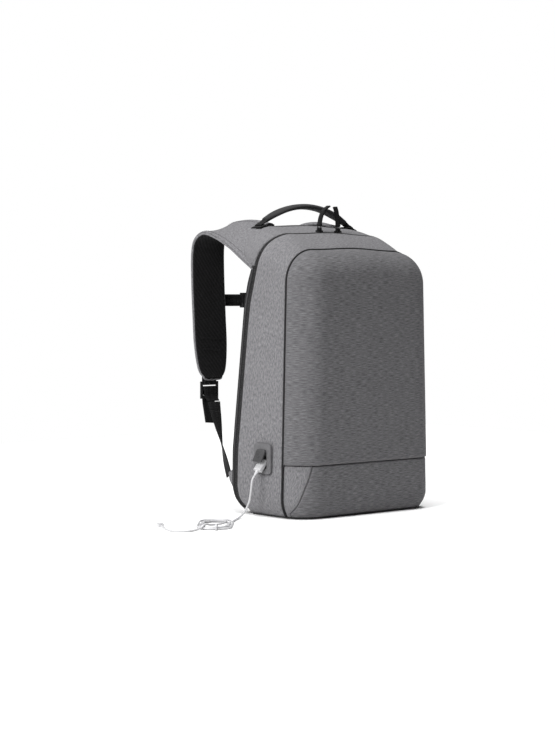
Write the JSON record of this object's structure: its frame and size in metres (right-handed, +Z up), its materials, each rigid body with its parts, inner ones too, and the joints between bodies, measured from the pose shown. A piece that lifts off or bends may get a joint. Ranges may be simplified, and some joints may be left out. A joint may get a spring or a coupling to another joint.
{
  "type": "backpack",
  "caption": "Laptop backpack with a moulded front, full-length clamshell zip, padded straps and a side USB charging port with its cable plugged in.",
  "frame": {"origin": "on the ground, in the middle of the bag's width, under the middle of the base", "axes": "+Z up, -Y towards the moulded front, +Y towards the wearer, -X towards the USB port"},
  "size_m": [0.4897, 0.2897, 0.4725],
  "materials": {
    "side_fabric": "grey heathered polyester",
    "front_fabric": "darker grey heathered polyester, moulded",
    "dark_fabric": "charcoal woven polyester",
    "mesh": "black spacer mesh",
    "webbing": "black ribbed webbing",
    "lining": "thin grey lining",
    "piping": "dark corded piping",
    "stiffener": "foam-backed board",
    "port_rubber": "matt soft-touch",
    "black_plastic": "moulded acetal",
    "metal": "satin",
    "zip_metal": "black lacquered zinc",
    "cable_white": "white sheathing"
  },
  "bodies": {
    "shell": {"side_gusset": "side_fabric", "front_panel": "front_fabric", "lower_front_panel": "front_fabric", "corner_gusset_left": "side_fabric", "corner_gusset_right": "side_fabric", "base_panel": "dark_fabric", "base_board": "stiffener", "front_piping": "piping", "zip_tape_shell": "dark_fabric", "front_divider": "lining", "organiser_pocket": "lining", "power_bank_pocket": "lining", "usb_patch": "port_rubber", "usb_housing": "black_plastic", "usb_socket": "metal", "inner_lead": "black_plastic", "inner_plug": "black_plastic", "usb_plug": "cable_white", "cable_lead": "cable_white", "cable_coil": "cable_white", "cable_tie": "cable_white", "cable_tail": "cable_white", "cable_connector": "cable_white"},
    "back_unit": {"back_board": "dark_fabric", "rear_base_panel": "dark_fabric", "back_band": "dark_fabric", "zip_tape_back": "dark_fabric", "back_pad_left": "mesh", "back_pad_right": "mesh", "lumbar_pad": "mesh", "laptop_sleeve": "lining", "yoke": "side_fabric", "handle_tabs": "webbing", "anchor_tabs": "side_fabric", "lower_webbing_left": "webbing", "lower_webbing_right": "webbing"},
    "handle": {"handle_grip": "dark_fabric"},
    "harness_left": {"strap_left": "side_fabric", "strap_mesh_left": "mesh", "sternum_rail_left": "webbing", "lock_loop_left": "webbing"},
    "harness_right": {"strap_right": "side_fabric", "strap_mesh_right": "mesh", "sternum_rail_right": "webbing", "lock_loop_right": "webbing"},
    "lock_left": {"ladder_lock_left": "black_plastic", "webbing_tail_left": "webbing"},
    "lock_right": {"ladder_lock_right": "black_plastic", "webbing_tail_right": "webbing"},
    "chest_left": {"adjuster_left": "black_plastic", "sternum_webbing_left": "webbing"},
    "chest_right": {"adjuster_right": "black_plastic", "sternum_webbing_right": "webbing", "buckle_female": "black_plastic"},
    "buckle": {"buckle_male": "black_plastic"},
    "zip_slider_left": {"slider_left": "zip_metal"},
    "zip_slider_right": {"slider_right": "zip_metal"},
    "zip_pull_left": {"pull_left": "webbing"},
    "zip_pull_right": {"pull_right": "webbing"},
    "port_flap": {"usb_flap": "port_rubber"}
  },
  "joints": [
    {"name": "main_zip_opening", "type": "hinge", "parent": "shell", "child": "back_unit", "pos_m": [0, 0.0465, 0.0103], "axis": [-1, 0, 0], "range_deg": [0, 40]},
    {"name": "handle_tilt", "type": "hinge", "parent": "back_unit", "child": "handle", "pos_m": [0, 0.069, 0.444], "axis": [1, 0, 0], "range_deg": [-12, 45]},
    {"name": "strap_swing_left", "type": "hinge", "parent": "back_unit", "child": "harness_left", "pos_m": [-0.096, 0.0755, 0.417], "axis": [1, 0, 0], "range_deg": [-8, 8], "deforming": ["lower_webbing_left"]},
    {"name": "strap_swing_right", "type": "hinge", "parent": "back_unit", "child": "harness_right", "pos_m": [0.096, 0.0755, 0.417], "axis": [1, 0, 0], "range_deg": [-8, 8], "deforming": ["lower_webbing_right"]},
    {"name": "lock_tilt_left", "type": "hinge", "parent": "harness_left", "child": "lock_left", "pos_m": [-0.099, 0.1861, 0.192], "axis": [1, 0, 0], "range_deg": [-12, 12]},
    {"name": "lock_tilt_right", "type": "hinge", "parent": "harness_right", "child": "lock_right", "pos_m": [0.099, 0.1861, 0.192], "axis": [1, 0, 0], "range_deg": [-12, 12]},
    {"name": "chest_height_left", "type": "slide", "parent": "harness_left", "child": "chest_left", "axis": [0, 0, 1], "range_m": [-0.035, 0.022]},
    {"name": "chest_height_right", "type": "slide", "parent": "harness_right", "child": "chest_right", "axis": [0, 0, 1], "range_m": [-0.035, 0.022]},
    {"name": "buckle_release", "type": "slide", "parent": "chest_left", "child": "buckle", "axis": [1, 0, 0], "range_m": [-0.02, 0], "deforming": ["sternum_webbing_left"]},
    {"name": "zip_run_left", "type": "slide", "parent": "shell", "child": "zip_slider_left", "axis": [1, 0, 0], "range_m": [-0.05, 0]},
    {"name": "zip_run_right", "type": "slide", "parent": "shell", "child": "zip_slider_right", "axis": [1, 0, 0], "range_m": [0, 0.05]},
    {"name": "pull_flip_left", "type": "hinge", "parent": "zip_slider_left", "child": "zip_pull_left", "pos_m": [-0.022, 0.0095, 0.4314], "axis": [0, 1, 0], "range_deg": [-75, 0]},
    {"name": "pull_flip_right", "type": "hinge", "parent": "zip_slider_right", "child": "zip_pull_right", "pos_m": [0.016, 0.0095, 0.4314], "axis": [0, 1, 0], "range_deg": [0, 75]},
    {"name": "port_flap_hinge", "type": "hinge", "parent": "shell", "child": "port_flap", "pos_m": [-0.1455, -0.0015, 0.099], "axis": [0, 1, 0], "range_deg": [0, 90]}
  ],
  "couplings": [
    {"joint": "strap_swing_right", "follows": "strap_swing_left", "ratio": 1},
    {"joint": "chest_height_right", "follows": "chest_height_left", "ratio": 1}
  ]
}
